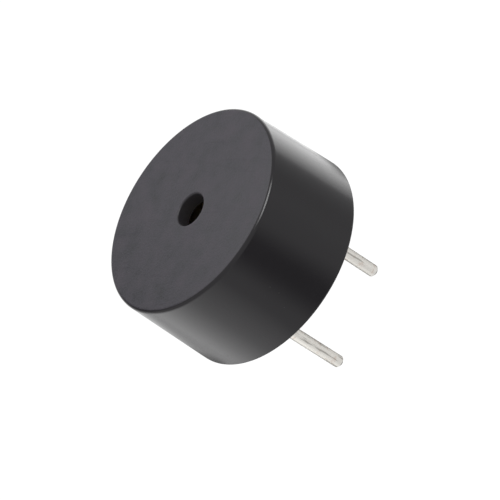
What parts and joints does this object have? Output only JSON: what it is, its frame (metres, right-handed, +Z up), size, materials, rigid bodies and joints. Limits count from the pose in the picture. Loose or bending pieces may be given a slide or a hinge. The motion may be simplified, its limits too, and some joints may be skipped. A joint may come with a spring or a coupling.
{
  "type": "piezo buzzer",
  "caption": "Round black board-mounted piezo buzzer with a sound hole in its flat top and round solder pins below.",
  "frame": {"origin": "on the seating plane, at the middle between the two pins, on the case's axis", "axes": "+Z up along the case's axis, out of the sound hole; X through both pins, pin_1 on +X"},
  "size_m": [0.0144, 0.0144, 0.015],
  "materials": {
    "case": "satin",
    "base": "satin",
    "resin": "gloss",
    "pins": "satin",
    "plate": "satin",
    "ceramic": "satin",
    "silicone": "satin",
    "leads": "gloss",
    "solder": "gloss"
  },
  "bodies": {
    "root": {"case": "case", "base_plate": "base", "sealing_bead": "resin", "pin_1": "pins", "pin_2": "pins", "diaphragm_plate": "plate", "piezo_ceramic": "ceramic", "bonding_ring": "silicone", "lead_plate": "leads", "lead_ceramic": "leads", "solder_plate": "solder", "solder_ceramic": "solder", "solder_pin_1": "solder", "solder_pin_2": "solder"}
  },
  "joints": []
}
